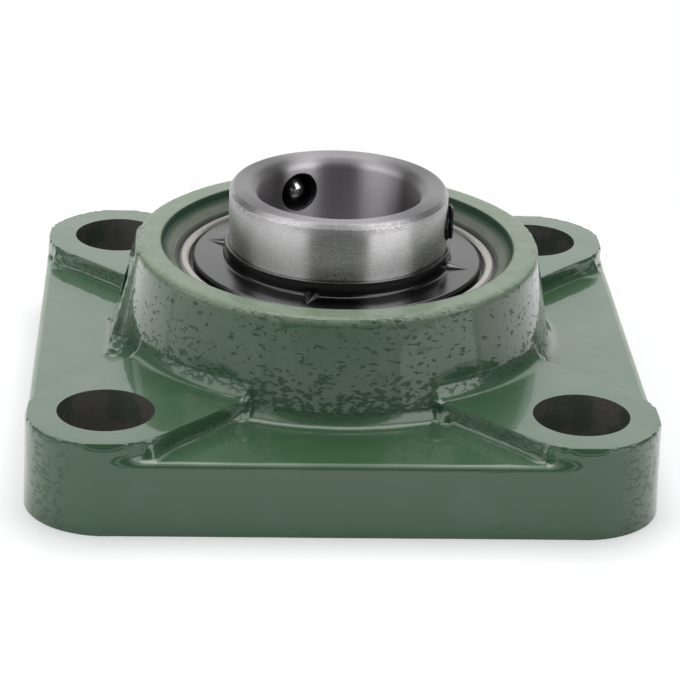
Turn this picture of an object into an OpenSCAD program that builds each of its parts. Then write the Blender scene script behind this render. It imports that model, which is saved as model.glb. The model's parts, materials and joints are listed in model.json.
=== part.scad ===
// Four-bolt square flange bearing: a cast housing with a spherical seat, and a wide inner ring
// ball bearing insert that is locked to its shaft by two set screws. Millimetres, +Z away from the wall.

/* [Flange] */
// Distance between bolt holes along each side
bolt_pitch = 70; // [68:0.5:76]
// Diameter of the bolt holes
bolt_hole_d = 14.4; // [10:0.1:15]
// Radius of the corners, concentric with the bolt holes
corner_r = 12.25; // [11.5:0.25:14]
// Thickness of the recessed plate between the arms
plate_t = 11.6; // [10:0.2:12.4]
// Height of the arms that run to the bolt holes
arm_t = 14.5; // [14:0.1:17]
// How far each arm's sides lie inside its corner boss
arm_inset = 0.55; // [0.45:0.05:1.6]
// How much the cast walls of the flange lean in from bottom to top
flange_draft = 0.35; // [0.1:0.05:0.5]
// Radius of the cast top edges
edge_r = 1.3; // [0.8:0.1:1.8]
// Radius of the cast inside corners at the arms
cove_r = 1.5; // [0.8:0.1:1.7]

/* [Hub] */
// Height of the hub's flat top ring
hub_h = 27.8; // [26.8:0.1:30]
// Wall from the seat's sphere to the hub's top edge
hub_wall = 5.4; // [4.6:0.1:7]
// How much wider the hub is at its foot than at its top
hub_flare = 2.3; // [1:0.1:3]
// Radius of the cast inside corner round the hub's foot
hub_cove_r = 2.2; // [1.9:0.1:3]
// Width of the hub's flat top ring
hub_rim_w = 4; // [3:0.1:4.4]
// Height of the step from the flat top ring down to the sloped ledge
mouth_step = 1.1; // [0.6:0.1:1.4]
// Depth of the recess under the seat, measured out from the seat's lower edge
underside_w = 2.6; // [1.6:0.1:3.2]

/* [Seat] */
// Height of the seat's centre over the mounting face
seat_h = 16.5; // [16:0.1:17.2]
// Gap between the seat and the insert's sphere
seat_gap = 0.045; // [0.03:0.005:0.06]
// Extra width of the two loading slots over the insert
slot_gap = 0.4; // [0.2:0.1:0.8]

/* [Grease port] */
// Width of the boss that carries the port
pad_w = 10.6; // [9:0.2:12]
// How far the boss stands out of the hub's foot
pad_out = 1.9; // [1:0.1:3]
// Core diameter of the tapped hole
port_d = 5; // [4:0.2:5.6]
// Depth of the tapped hole
port_depth = 5; // [3:0.2:5.6]
// Diameter of the passage from the port to the seat
passage_d = 2.5; // [1.5:0.1:3.2]
// Height of the port's centre on the boss
port_h = 20.5; // [19.5:0.1:21.5]

/* [Bearing] */
// Diameter of the shaft that the insert takes
bore_d = 25.4; // [22:0.1:26.4]
// Outside diameter of the inner ring
inner_d = 34; // [33.4:0.1:34.6]
// Length of the inner ring below the seat's centre
inner_below = 14.3; // [13:0.1:15]
// Spherical diameter of the outer ring
outer_d = 52; // [51.4:0.1:53]
// Width of the outer ring
outer_w = 17; // [16.6:0.1:17.6]
// Wall of the outer ring beside its groove
ring_wall = 4; // [3.8:0.1:4.2]
// Width of the ledge that the seal lies on
seal_ledge = 1.2; // [0.9:0.1:1.4]
// Number of balls
ball_count = 9; // [7:1:9]
// Diameter of the balls
ball_d = 7.938; // [7.2:0.1:8.2]
// Gap between a ball and its grooves
ball_gap = 0.05; // [0.03:0.01:0.08]

/* [Cage] */
// Radial width of the cage
cage_w = 3; // [2.4:0.1:3.4]
// Thickness of the cage's sheet
cage_t = 0.5; // [0.3:0.05:0.6]
// Gap between a ball and its pocket
pocket_gap = 0.1; // [0.06:0.02:0.2]
// Diameter of the rivets
rivet_d = 1.1; // [0.8:0.1:1.4]

/* [Seals and slingers] */
// Thickness of the seal plate
seal_t = 0.6; // [0.4:0.05:0.8]
// Distance from the seat's centre to the seal plate
seal_h = 5.3; // [5.1:0.05:5.6]
// Gap between the seal's lip and the inner ring
lip_gap = 0.08; // [0.05:0.01:0.1]
// Share of the space between the rings that the seal's lip fills
lip_share = 0.225; // [0.2:0.005:0.26]
// Thickness of the seal's lip
lip_t = 0.6; // [0.5:0.05:0.7]
// Gap between the slinger's rim and the outer ring's mouth
rim_gap = 0.7; // [0.5:0.1:1.7]
// Height of the slinger's turned down rim
rim_h = 1.9; // [1.2:0.1:2.2]
// Thickness of the slinger's sheet
slinger_t = 0.6; // [0.4:0.05:0.8]
// Distance from the seat's centre to the slinger's outer face
slinger_h = 8.9; // [8.7:0.1:9.6]
// Height of the slinger's collar over its disc
collar_h = 2.4; // [1:0.1:2.8]
// Number of ribs pressed into the slinger
rib_count = 4; // [3:1:6]
// Length of each rib, from the collar
rib_l = 3.5; // [2:0.1:4]
// Width of each rib at the collar
rib_w = 2.6; // [1.6:0.1:3]
// Height of each rib at the collar
rib_h = 0.9; // [0.5:0.1:1]
// Turn of the first rib about the axis
rib_turn = -15; // [-40:1:40]

/* [Set screws] */
// Thread diameter of the set screws
screw_d = 6; // [4:0.5:6]
// Length of the set screws
screw_l = 5; // [4.4:0.1:6]
// Distance from the slinger's collar to the screws' axes
screw_rise = 3.6; // [3.3:0.1:5]
// Distance from the screws' axes to the ring's outer face
screw_drop = 5.4; // [4:0.1:5.8]
// Turn of the first set screw about the axis
screw_turn = -3; // [-30:1:30]
// Angle between the two set screws
screw_spread = 120; // [60:5:150]
// Width across the flats of the hexagon socket
socket_w = 3; // [1.5:0.5:3]
// Depth of the hexagon socket
socket_depth = 2.4; // [1.5:0.1:2.8]

/* [Hidden] */
$fn = 96;
arc_steps = 4;
sink = 0.05;
fit_gap = 0.02;
thread_gap = 0.05;

bolt_c = bolt_pitch / 2;
flange_half = bolt_c + corner_r;
bolt_reach = bolt_c * sqrt(2);
arm_half = corner_r - arm_inset;
arm_rise = arm_t - plate_t;
arm_edge_r = min(edge_r, 0.45 * arm_rise);
arm_cove_r = min(cove_r, 0.52 * arm_rise);
seat_r = outer_d / 2 + seat_gap;
seat_half = outer_w / 2 + 0.1;
seat_edge_r = sqrt(seat_r * seat_r - seat_half * seat_half);
hub_top_r = outer_d / 2 + hub_wall;
hub_foot_r = hub_top_r + hub_flare;
mouth_r = hub_top_r - hub_rim_w;
ledge_r = seat_edge_r + 0.6;
underside_r = seat_edge_r + underside_w;
slot_r = seat_r + 0.25;
pad_top_x = hub_top_r - 2 * sink;
pad_foot_x = hub_foot_r + pad_out;
pad_lean = atan2(pad_foot_x - pad_top_x, hub_h - plate_t);
port_x = pad_foot_x - (port_h - plate_t) * tan(pad_lean);
groove_w = 2.4;
groove_depth = 0.7;
groove_h = 1.6;

ball_r = ball_d / 2;
race_r = ball_r + ball_gap;
land_r = outer_d / 2 - ring_wall;
recess_r = land_r + seal_ledge;
pitch_r = (inner_d / 2 + land_r) / 2;
screw_r = screw_d / 2;
screw_h = slinger_h + collar_h + screw_rise;
inner_above = screw_h + screw_drop;
inner_chamfer = 0.8;
bore_round = 1.5;
inner_end_r = 0.6;
seal_seat_r = recess_r + 0.4;
lip_w = lip_share * (recess_r - inner_d / 2);
slinger_r = recess_r - rim_gap;
bend_r = 0.25;
sheet_edge = 0.15;
screw_chamfer = 0.5;
nose_share = 0.6;
screw_tip_r = bore_d / 2 + 0.15;
cage_in_r = pitch_r - cage_w / 2;
rivet_head = 0.45;
cast_green = [0.36, 0.5, 0.41];
bright_steel = [0.72, 0.72, 0.73];
dark_steel = [0.35, 0.35, 0.36];

// Points of a rounded outer corner that ends a wall of radius r at height z
function rounded(r, z, e) =
    [for (i = [0:arc_steps]) let (a = 90 * i / arc_steps) [r - e + e * cos(a), z - e + e * sin(a)]];

// Points of a hollow foot that joins a floor at height z to a wall of radius r
function cove(r, z, e) =
    [for (i = [0:arc_steps]) let (a = 90 * i / arc_steps) [r + e - e * sin(a), z + e - e * cos(a)]];

// Half section of a cast block of half width w and height z, from its middle line out
function block_half(w, z) = concat([[w, 0]], rounded(w - flange_draft * z / arm_t, z, edge_r));

// Both halves of a section that is given by its right side, from bottom to top
function both(p) = concat(p, [for (i = [len(p) - 1:-1:0]) [-p[i][0], p[i][1]]]);

module at_seat() {
    translate([0, 0, seat_h]) children();
}

// A straight bar of the given section along X, from x0 to x1
module bar(section, x0, x1) {
    translate([x0, 0, 0]) rotate([90, 0, 90]) linear_extrude(x1 - x0) polygon(section);
}

module at_bolts() {
    for (x = [-1, 1], y = [-1, 1]) translate([x * bolt_c, y * bolt_c, 0]) children();
}

// The recessed plate: two crossed slabs between the corner bosses
module plate() {
    section = both(block_half(flange_half, plate_t));
    for (a = [0, 90]) rotate([0, 0, a]) bar(section, -bolt_c, bolt_c);
}

module corner_bosses() {
    at_bolts() rotate_extrude() polygon(concat([[0, 0]], block_half(corner_r, arm_t), [[0, arm_t]]));
}

// The raised arms, from the hub to just past the bolt holes
module arms() {
    foot = [[arm_half + arm_cove_r, plate_t - 1]];
    wall = cove(arm_half, plate_t - sink, arm_cove_r);
    section = both(concat(foot, wall, rounded(arm_half, arm_t - sink, arm_edge_r)));
    reach = bolt_reach + arm_inset * 3;
    for (a = [45, 135]) rotate([0, 0, a]) bar(section, -reach, reach);
}

module hub_body() {
    wall = concat(cove(hub_foot_r, plate_t - sink, hub_cove_r), rounded(hub_top_r, hub_h, edge_r));
    rotate_extrude() polygon(concat([[0, 1], [hub_foot_r + hub_cove_r, 1]], wall, [[0, hub_h]]));
}

// The small hollow foot of the hub on top of each arm
module arm_coves() {
    foot_r = hub_foot_r - hub_flare * (arm_t - plate_t) / (hub_h - plate_t);
    base = arm_t - 2 * sink;
    width = 2 * (arm_half - arm_edge_r - 2 * sink);
    floor_line = [[0, base - 1], [foot_r + cove_r, base - 1]];
    ring = concat(floor_line, cove(foot_r, base, cove_r), [[0, base + cove_r]]);
    intersection() {
        rotate_extrude() polygon(ring);
        for (a = [45, 135]) rotate([0, 0, a]) cube([bolt_reach * 2, width, hub_h * 2], center = true);
    }
}

// The boss for the grease port, with its slanted face
module grease_boss() {
    top = hub_h - edge_r;
    slope = (pad_foot_x - pad_top_x) / (hub_h - plate_t);
    face = [
        [0, plate_t - 1],
        [pad_foot_x + cove_r, plate_t - 1],
        [pad_foot_x + cove_r, plate_t - sink],
        [pad_foot_x + cove_r * 0.3, plate_t + cove_r * 0.3],
        [pad_foot_x - slope * cove_r, plate_t + cove_r],
        [pad_foot_x - slope * (top - plate_t), top],
        [pad_top_x - edge_r, hub_h - sink],
        [0, hub_h - sink]
    ];
    rotate([0, 0, 180]) rotate([90, 0, 0]) linear_extrude(pad_w, center = true) polygon(face);
}

// Everything that is cut out of the casting about the main axis
module seat_and_mouths() {
    at_seat() sphere(r = seat_r);
    rotate_extrude() polygon([
        [0, seat_h + seat_half],
        [ledge_r, seat_h + seat_half],
        [mouth_r - 0.3, hub_h - mouth_step],
        [mouth_r, hub_h + sink],
        [mouth_r, hub_h + 1],
        [0, hub_h + 1]
    ]);
    rotate_extrude() polygon([
        [0, -1],
        [underside_r + 1.4, -1],
        [underside_r, seat_h - seat_half],
        [0, seat_h - seat_half]
    ]);
}

// The two slots that let the insert in when it is turned on edge
module loading_slots() {
    intersection() {
        cylinder(r = slot_r, h = seat_h);
        translate([0, 0, seat_h / 2]) cube([outer_w + slot_gap, slot_r * 3, seat_h + 1], center = true);
    }
}

// The tapped hole in the boss, the passage behind it and the ring groove that it feeds
module grease_way() {
    rotate([0, 0, 180]) translate([port_x, 0, port_h]) rotate([0, 90 - pad_lean, 0]) {
        translate([0, 0, -port_depth]) cylinder(d = port_d, h = port_depth + 2);
        translate([0, 0, seat_edge_r - port_x - 1]) cylinder(d = passage_d, h = port_x - seat_edge_r);
    }
    at_seat() translate([0, 0, groove_h - groove_w / 2]) cylinder(r = seat_r + groove_depth, h = groove_w);
}

module housing() {
    color(cast_green) difference() {
        union() {
            plate();
            corner_bosses();
            arms();
            hub_body();
            arm_coves();
            grease_boss();
        }
        seat_and_mouths();
        loading_slots();
        grease_way();
        at_bolts() translate([0, 0, -1]) cylinder(d = bolt_hole_d, h = arm_t + 2);
    }
}

module outer_ring() {
    half = outer_w / 2;
    hole_d = 1.8;
    color(bright_steel) at_seat() difference() {
        rotate_extrude() difference() {
            intersection() {
                circle(r = outer_d / 2);
                translate([land_r, -half]) square([outer_d, outer_w]);
            }
            translate([pitch_r, 0]) circle(r = race_r);
            for (s = [1, -1]) scale([1, s]) {
                translate([0, seal_h]) square([recess_r, half]);
                translate([0, seal_h]) square([seal_seat_r, seal_t + 2 * fit_gap]);
            }
        }
        for (a = [0, 180]) rotate([0, 90, a]) translate([1 - seal_h, 0, 0]) cylinder(d = hole_d, h = outer_d);
    }
}

module inner_ring() {
    r = inner_d / 2;
    b = bore_d / 2;
    e = inner_end_r;
    low = [[b, e - inner_below], [b + e, -inner_below], [r - e, -inner_below], [r, e - inner_below]];
    high = [[r, inner_above - inner_chamfer], [r - inner_chamfer, inner_above]];
    lip = [for (i = [0:arc_steps]) let (a = 90 * i / arc_steps)
        [b + bore_round - bore_round * sin(a), inner_above - bore_round + bore_round * cos(a)]];
    color(bright_steel) at_seat() difference() {
        rotate_extrude() difference() {
            polygon(concat(low, high, lip));
            translate([pitch_r, 0]) circle(r = race_r);
        }
        for (a = [0, screw_spread]) rotate([0, 90, screw_turn + a]) translate([-screw_h, 0, 0])
            cylinder(r = screw_r, h = inner_d);
    }
}

// The place of ball i on the pitch circle
module at_pitch(i) {
    rotate([0, 0, 360 / ball_count * i]) translate([pitch_r, 0, 0]) children();
}

module ball(i) {
    color(bright_steel) at_seat() at_pitch(i) sphere(r = ball_r);
}

module cage_half() {
    pocket_r = ball_r + pocket_gap;
    difference() {
        intersection() {
            rotate_extrude() translate([cage_in_r, fit_gap / 2]) square([cage_w, ball_d]);
            union() {
                translate([0, 0, fit_gap / 2 - cage_t]) cylinder(r = pitch_r + cage_w, h = 2 * cage_t);
                for (i = [1:ball_count]) at_pitch(i) sphere(r = pocket_r + cage_t);
            }
        }
        for (i = [1:ball_count]) at_pitch(i) sphere(r = pocket_r);
        at_rivets() translate([0, 0, -1]) cylinder(r = rivet_d / 2 + fit_gap, h = 3);
    }
}

// Places half way between the balls
module at_rivets() {
    for (i = [1:ball_count]) at_pitch(i + 0.5) children();
}

module cage_upper() {
    color("silver") at_seat() cage_half();
}

module cage_lower() {
    color("silver") at_seat() mirror([0, 0, 1]) cage_half();
}

module cage_rivets() {
    top = fit_gap / 2 + cage_t;
    head = [[rivet_d * 0.9, top], [rivet_d * 0.6, top + rivet_head], [0, top + rivet_head]];
    side = concat([[0, 0], [rivet_d / 2, 0], [rivet_d / 2, top]], head);
    color("silver") at_seat() at_rivets() for (m = [0, 1]) mirror([0, 0, m]) rotate_extrude() polygon(side);
}

// Sheet metal seal plate, held in the outer ring's groove
module seal_plate() {
    edge_r = seal_seat_r - fit_gap;
    inner_r = inner_d / 2 + lip_w;
    color(dark_steel) rotate_extrude() polygon([
        [inner_r, seal_h + fit_gap],
        [edge_r, seal_h + fit_gap],
        [edge_r, seal_h + fit_gap + seal_t],
        [inner_r, seal_h + fit_gap + seal_t]
    ]);
}

// Rubber lip on the seal plate's inner edge
module seal_lip() {
    tip_r = inner_d / 2 + lip_gap;
    root_r = inner_d / 2 + lip_w - fit_gap;
    base = seal_h + fit_gap;
    color([0.12, 0.12, 0.12]) rotate_extrude() polygon([
        [tip_r + lip_w / 2, base],
        [root_r, base],
        [root_r, base + seal_t + fit_gap],
        [root_r + lip_t * 2, base + seal_t + fit_gap],
        [root_r + lip_t * 1.5, base + seal_t + lip_t],
        [tip_r + lip_t * 1.3, base + seal_t + lip_t],
        [tip_r + lip_t * 0.2, base + seal_t + lip_t * 1.8],
        [tip_r, base + seal_t + lip_t * 1.5],
        [tip_r + lip_t * 0.7, base + lip_t * 0.8]
    ]);
}

// Slinger that turns with the inner ring: a disc with a turned down rim, a collar and pressed ribs
module slinger() {
    collar_r = inner_d / 2 + fit_gap;
    rim_r = slinger_r;
    top = slinger_h;
    under = top - slinger_t;
    color(dark_steel) union() {
        rotate_extrude() polygon([
            [collar_r, under],
            [rim_r - slinger_t, under],
            [rim_r - slinger_t, top - rim_h],
            [rim_r, top - rim_h],
            [rim_r, top - bend_r],
            [rim_r - bend_r, top],
            [collar_r + slinger_t + bend_r, top],
            [collar_r + slinger_t, top + bend_r],
            [collar_r + slinger_t, top + collar_h - sheet_edge],
            [collar_r + slinger_t - sheet_edge, top + collar_h],
            [collar_r, top + collar_h]
        ]);
        for (i = [1:rib_count]) rotate([0, 0, rib_turn + 360 / rib_count * i])
            rib(collar_r + slinger_t / 2, top - sink);
    }
}

// A rib that is widest and highest at the collar and runs out to a point
module rib(r, z) {
    l = rib_l + slinger_t / 2;
    plan = [[0, -rib_w / 2], [l, 0], [0, rib_w / 2]];
    side = [[0, 0], [l, 0], [0, rib_h + sink]];
    translate([r, 0, z]) intersection() {
        linear_extrude(rib_h + 1) polygon(plan);
        rotate([90, 0, 0]) linear_extrude(rib_w * 2, center = true) polygon(side);
    }
}

module lower() {
    at_seat() mirror([0, 0, 1]) children();
}

module set_screw(a) {
    tip = screw_tip_r;
    out = screw_tip_r + screw_l;
    r = screw_r - thread_gap;
    nose_r = r * nose_share;
    nose = [for (i = [0:arc_steps]) let (a = 45 * i / arc_steps) nose_r * [sin(a), 1 - cos(a)] + [0, tip]];
    last = nose[arc_steps];
    shank = [[r, last[1] + r - last[0]], [r, out - screw_chamfer], [r - screw_chamfer, out], [0, out]];
    color([0.16, 0.16, 0.17]) at_seat() translate([0, 0, screw_h]) rotate([0, 90, a]) difference() {
        rotate_extrude() polygon(concat(nose, shank));
        translate([0, 0, out - socket_depth]) cylinder(d = socket_w / cos(30), h = socket_depth + 1, $fn = 6);
    }
}

housing();
outer_ring();
inner_ring();
at_seat() seal_plate();  // seal_plate_upper
lower() seal_plate();  // seal_plate_lower
at_seat() seal_lip();  // seal_lip_upper
lower() seal_lip();  // seal_lip_lower
at_seat() slinger();  // slinger_upper
lower() slinger();  // slinger_lower
cage_upper();
cage_lower();
cage_rivets();
set_screw(screw_turn);  // set_screw_a
set_screw(screw_turn + screw_spread);  // set_screw_b
for (i = [1:ball_count]) ball(i);
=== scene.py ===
import json
import math
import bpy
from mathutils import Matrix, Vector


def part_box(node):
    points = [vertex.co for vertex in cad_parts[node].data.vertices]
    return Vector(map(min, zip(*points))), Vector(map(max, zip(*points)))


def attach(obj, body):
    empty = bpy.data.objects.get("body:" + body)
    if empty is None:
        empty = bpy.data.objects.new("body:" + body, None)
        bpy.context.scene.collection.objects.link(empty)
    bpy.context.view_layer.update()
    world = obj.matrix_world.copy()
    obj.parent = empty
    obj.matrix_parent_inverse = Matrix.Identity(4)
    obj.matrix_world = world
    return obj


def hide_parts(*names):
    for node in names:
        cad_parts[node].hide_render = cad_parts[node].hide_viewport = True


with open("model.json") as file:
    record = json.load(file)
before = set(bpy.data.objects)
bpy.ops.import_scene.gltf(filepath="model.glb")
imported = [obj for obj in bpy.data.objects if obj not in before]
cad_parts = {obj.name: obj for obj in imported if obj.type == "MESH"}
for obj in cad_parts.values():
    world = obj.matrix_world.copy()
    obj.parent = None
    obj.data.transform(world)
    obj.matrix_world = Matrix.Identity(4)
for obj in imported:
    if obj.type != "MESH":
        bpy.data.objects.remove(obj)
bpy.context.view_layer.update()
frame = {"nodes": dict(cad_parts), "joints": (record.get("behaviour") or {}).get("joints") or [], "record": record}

from types import SimpleNamespace

import bpy
from bpy.props import FloatProperty, FloatVectorProperty, IntProperty, PointerProperty
from mathutils import Matrix, Vector, noise

bl_info = {
    "name": "Flange Bearing",
    "version": (1, 0, 0),
    "blender": (4, 5, 0),
    "location": "View3D > Sidebar > Bearing",
    "description": "Dresses a four-bolt flange bearing with a painted casting, ground rings and a studio",
    "category": "Object",
}

MM = 0.001
TURN = 2 * math.pi
MOUNTS = {mount["name"]: mount for mount in frame["record"]["mounts"]}
JOINTS = {joint["name"]: joint for joint in frame["joints"]}
BOLTS = MOUNTS["bolts"]["dims"]
BORE_RADIUS = MOUNTS["shaft_bore"]["dims"]["r_mm"] * MM
SEAT_HEIGHT = JOINTS["align_tilt"]["pos_m"][2]
HOUSING_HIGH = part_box("housing")[1]
INNER_LOW, INNER_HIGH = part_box("inner_ring")
OUTER_LOW, OUTER_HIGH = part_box("outer_ring")
SLINGER_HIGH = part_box("slinger_upper")[1]


def length(name, default, description):
    """A length setting in metres."""
    return FloatProperty(name=name, description=description, default=default, unit="LENGTH", precision=5)


def colour(name, default, description):
    """A colour setting without alpha."""
    return FloatVectorProperty(
        name=name, description=description, default=default, subtype="COLOR", min=0, max=1
    )


def angle(name, degrees, description):
    """An angle setting."""
    return FloatProperty(name=name, description=description, default=math.radians(degrees), subtype="ANGLE")


class CastingSettings(bpy.types.PropertyGroup):
    """Sizes of the cast housing."""

    plate_height: length("Plate height", 11.6 * MM, "Height of the recessed plate between the arms")
    arm_height: length("Arm height", 14.5 * MM, "Height of the arms and corner bosses")
    corner_radius: length("Corner radius", 12.25 * MM, "Radius of the corners round the bolt holes")
    arm_inset: length("Arm inset", 0.55 * MM, "How far an arm's sides lie inside its boss")
    draft: length("Draft", 0.35 * MM, "How much the cast walls lean in over the height of an arm")
    hub_top_radius: length("Hub top radius", 31.4 * MM, "Radius of the hub at its top")
    hub_foot_radius: length("Hub foot radius", 33.7 * MM, "Radius of the hub where it meets the plate")
    hub_foot_round: length("Hub foot round", 2.4 * MM, "Radius of the hollow round the hub's foot")
    arm_cove: length("Arm cove", 1.7 * MM, "Radius of the hollow where an arm's top meets the hub")
    rim_width: length("Rim width", 4 * MM, "Width of the flat ring on top of the hub")
    ledge_reach: length("Ledge reach", 0.6 * MM, "Width of the flat land round the seat's upper edge")
    mouth_step: length("Mouth step", 1.1 * MM, "Step from the rim down to the ledge")
    seat_radius: length("Seat radius", 26.045 * MM, "Radius of the spherical seat")
    seat_half: length("Seat half width", 8.6 * MM, "Half the width of the seat")
    port_radius: length("Port radius", 2.5 * MM, "Radius of the grease port")
    port_height: length("Port height", 20.5 * MM, "Height of the grease port on its boss")
    boss_width: length("Boss width", 10.6 * MM, "Width of the boss that carries the grease port")
    boss_reach: length("Boss reach", 1.9 * MM, "How far the boss stands out of the hub's foot")
    step_width: length("Boss step width", 3.6 * MM, "Width of the low step in front of the boss")
    step_depth: length("Boss step depth", 3.4 * MM, "How far the low step stands out in front of the boss")
    step_height: length("Boss step height", 12.6 * MM, "Height of the low step's top")
    pool_radius: length("Pool radius", 0.75 * MM, "Radius of a drop of paint in a corner at the hub")
    run_radius: length("Run radius", 0.7 * MM, "Radius of a drop of paint where an arm's side ends")
    skin_step: length("Skin step", 0.5 * MM, "Edge length of the cast skin's mesh")
    skin_rounds: IntProperty(name="Skin rounds", description="Passes that round the cast edges", default=2)
    skin_wave: length("Skin wave", 0.16 * MM, "Depth of the cast skin's waves")


class InsertSettings(bpy.types.PropertyGroup):
    """Sizes of the bearing insert."""

    ball_radius: length("Ball radius", 3.969 * MM, "Radius of the balls")
    pitch_radius: length("Pitch radius", 19.5 * MM, "Radius of the circle through the balls' centres")
    ball_gap: length("Ball gap", 0.05 * MM, "Gap between a ball and its grooves")
    land_radius: length("Land radius", 22 * MM, "Bore radius of the outer ring beside its groove")
    recess_radius: length("Recess radius", 23.2 * MM, "Bore radius of the outer ring's mouth")
    seal_drop: length("Seal distance", 5.3 * MM, "Distance from the seat's centre to the seal plate")
    seal_sheet: length("Seal sheet", 0.6 * MM, "Thickness of the seal plate")
    bore_round: length("Bore round", 1.9 * MM, "Radius of the rounded upper edge of the bore")
    end_chamfer: length("End chamfer", 0.75 * MM, "Size of the chamfer on the inner ring's upper edge")
    sheet: length("Slinger sheet", 0.6 * MM, "Thickness of the slingers' sheet")
    collar: length("Collar height", 2.4 * MM, "Height of a slinger's collar over its disc")
    rim_drop: length("Rim drop", 1.9 * MM, "Height of a slinger's turned down rim")
    rib_length: length("Rib length", 3.7 * MM, "Length of a slinger's rib, from the collar")
    rib_width: length("Rib width", 2.7 * MM, "Width of a rib at the collar")
    rib_height: length("Rib height", 0.95 * MM, "Height of a rib at the collar")
    rib_turn: angle("Rib turn", -15, "Turn of the first rib about the axis")
    screw_radius: length("Screw radius", 3 * MM, "Thread radius of the set screws")
    screw_length: length("Screw length", 5 * MM, "Length of a set screw")
    screw_drop: length("Screw drop", 5.4 * MM, "Distance from the inner ring's end to the set screws")
    tap_depth: length("Tap depth", 0.28 * MM, "Depth of the tapped thread, which lies outside the screw's")
    screw_pitch: length("Thread pitch", 1.0 * MM, "Pitch of the set screws' thread")
    screw_turn: angle("Screw turn", -3, "Turn of the first set screw about the axis")
    screw_spread: angle("Screw spread", 120, "Angle between the set screws")
    socket_depth: length("Socket depth", 2.4 * MM, "Depth of the hexagon socket")
    socket_width: length("Socket width", 3 * MM, "Width across the flats of the hexagon socket")


class FinishSettings(bpy.types.PropertyGroup):
    """Colours and finishes."""

    paint: colour("Paint", (0.04, 0.106, 0.046), "Colour of the enamel on the casting")
    paint_thin: colour("Thin paint", (0.075, 0.15, 0.085), "Colour of the enamel where it is thin, on edges")
    paint_rim: colour("Rim paint", (0.2, 0.265, 0.18), "Colour of the thin, dusty enamel on the hub's rim")
    paint_dusty: colour("Dusty paint", (0.2, 0.205, 0.165), "Dusty enamel on the slope inside the mouth")
    # Painted highlight: this pale colour stands for the light that the plate's rounded front edge reflects.
    paint_worn: colour("Worn paint", (0.3, 0.38, 0.28), "Colour of the enamel along the plate's edge")
    # Painted shade: this darker enamel goes on the mouth's step, in the pits and in the dents along the rim's
    # edge.
    paint_deep: colour("Deep paint", (0.022, 0.062, 0.03), "Colour of the enamel where it has pooled")
    peel_size: length("Peel size", 0.9 * MM, "Size of the orange peel in the enamel")
    peel_depth: length("Peel depth", 0.035 * MM, "Depth of the orange peel in the enamel")
    iron: colour("Iron", (0.2, 0.195, 0.19), "Colour of machined iron")
    drilled: colour("Drilled iron", (0.1, 0.096, 0.084), "Colour of the drilled bolt holes")
    ground_steel: colour("Ground steel", (0.56, 0.545, 0.56), "Colour of the ground rings")
    # End shade sets how dark the ring's end faces are painted, as painted shade.
    end_shade: FloatProperty(name="End shade", description="Brightness of the turned end", default=0.4)
    face_steel: colour("Face steel", (0.5, 0.478, 0.447), "Colour of the outer ring's face")
    dark_sheet: colour("Dark sheet", (0.105, 0.105, 0.107), "Colour of the slingers' sheet")
    black_steel: colour("Black steel", (0.035, 0.035, 0.037), "Colour of the set screws")
    seal_sheet: colour("Seal sheet", (0.2, 0.2, 0.205), "Colour of the seal plates")
    cage_sheet: colour("Cage sheet", (0.5, 0.5, 0.49), "Colour of the cage")
    ball_steel: colour("Ball steel", (0.75, 0.75, 0.76), "Colour of the balls")
    rubber: colour("Rubber", (0.012, 0.012, 0.013), "Colour of the seal lips")


class StudioSettings(bpy.types.PropertyGroup):
    """Camera, floor and light."""

    focal: FloatProperty(name="Focal length", description="Focal length in millimetres", default=151.138)
    distance: length("Distance", 0.442272, "Distance of the camera from the point that it looks at")
    elevation: angle("Elevation", 23.552, "Height of the camera over the horizon")
    yaw: angle("Yaw", -3.3001, "Turn of the camera about the upright axis")
    roll: angle("Roll", 1.9928, "Turn of the camera about its own line of sight")
    aim: FloatVectorProperty(
        name="Aim",
        description="Point that the camera looks at",
        default=(0.0003919, -0.0096998, 0.015),
        subtype="TRANSLATION",
        precision=6,
    )
    floor_half: length("Floor half width", 0.084, "Half the width of the square floor")
    card_radius: length("Card radius", 0.75, "Distance of the grey cards from the part")
    ambient: FloatProperty(name="Ambient", description="Strength of the light from all round", default=0.46)


SETTINGS = {
    "casting": CastingSettings,
    "insert": InsertSettings,
    "finish": FinishSettings,
    "studio": StudioSettings,
}


# Modelling helpers


def select_only(*objects):
    """Selects these objects alone, in object mode, and makes the first one active."""
    if bpy.context.object and bpy.context.object.mode != "OBJECT":
        bpy.ops.object.mode_set(mode="OBJECT")
    bpy.ops.object.select_all(action="DESELECT")
    for piece in objects:
        piece.select_set(True)
    bpy.context.view_layer.objects.active = objects[0]


def named(name):
    """Gives the object that an operator has just made its name, and returns it."""
    piece = bpy.context.active_object
    piece.name = name
    piece.data.name = name
    return piece


def cylinder(name, radius, low, high, sides=128):
    """An upright cylinder about the axis, from one height to another."""
    bpy.ops.object.select_all(action="DESELECT")
    bpy.ops.mesh.primitive_cylinder_add(
        vertices=sides, radius=radius, depth=high - low, location=(0, 0, (low + high) / 2)
    )
    return place(named(name), Matrix())


def block(name, low, high):
    """A box between two corners."""
    bpy.ops.object.select_all(action="DESELECT")
    low, high = Vector(low), Vector(high)
    bpy.ops.mesh.primitive_cube_add(size=1, location=(low + high) / 2, scale=high - low)
    return place(named(name), Matrix())


def place(piece, matrix):
    """Moves a piece and puts its place into its mesh."""
    piece.data.transform(matrix @ piece.matrix_world)
    piece.matrix_world = Matrix()
    return piece


def turned(radians, axis="Z"):
    """A turn about an axis."""
    return Matrix.Rotation(radians, 4, axis)


def mirrored(height):
    """A mirror image across the level plane at a height."""
    return Matrix.Translation((0, 0, 2 * height)) @ Matrix.Diagonal((1, 1, -1, 1))


def move_vertices(piece, rule):
    """Moves each vertex to where the rule puts it."""
    for vertex in piece.data.vertices:
        vertex.co = rule(vertex.co.copy())
    piece.data.update()


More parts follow.
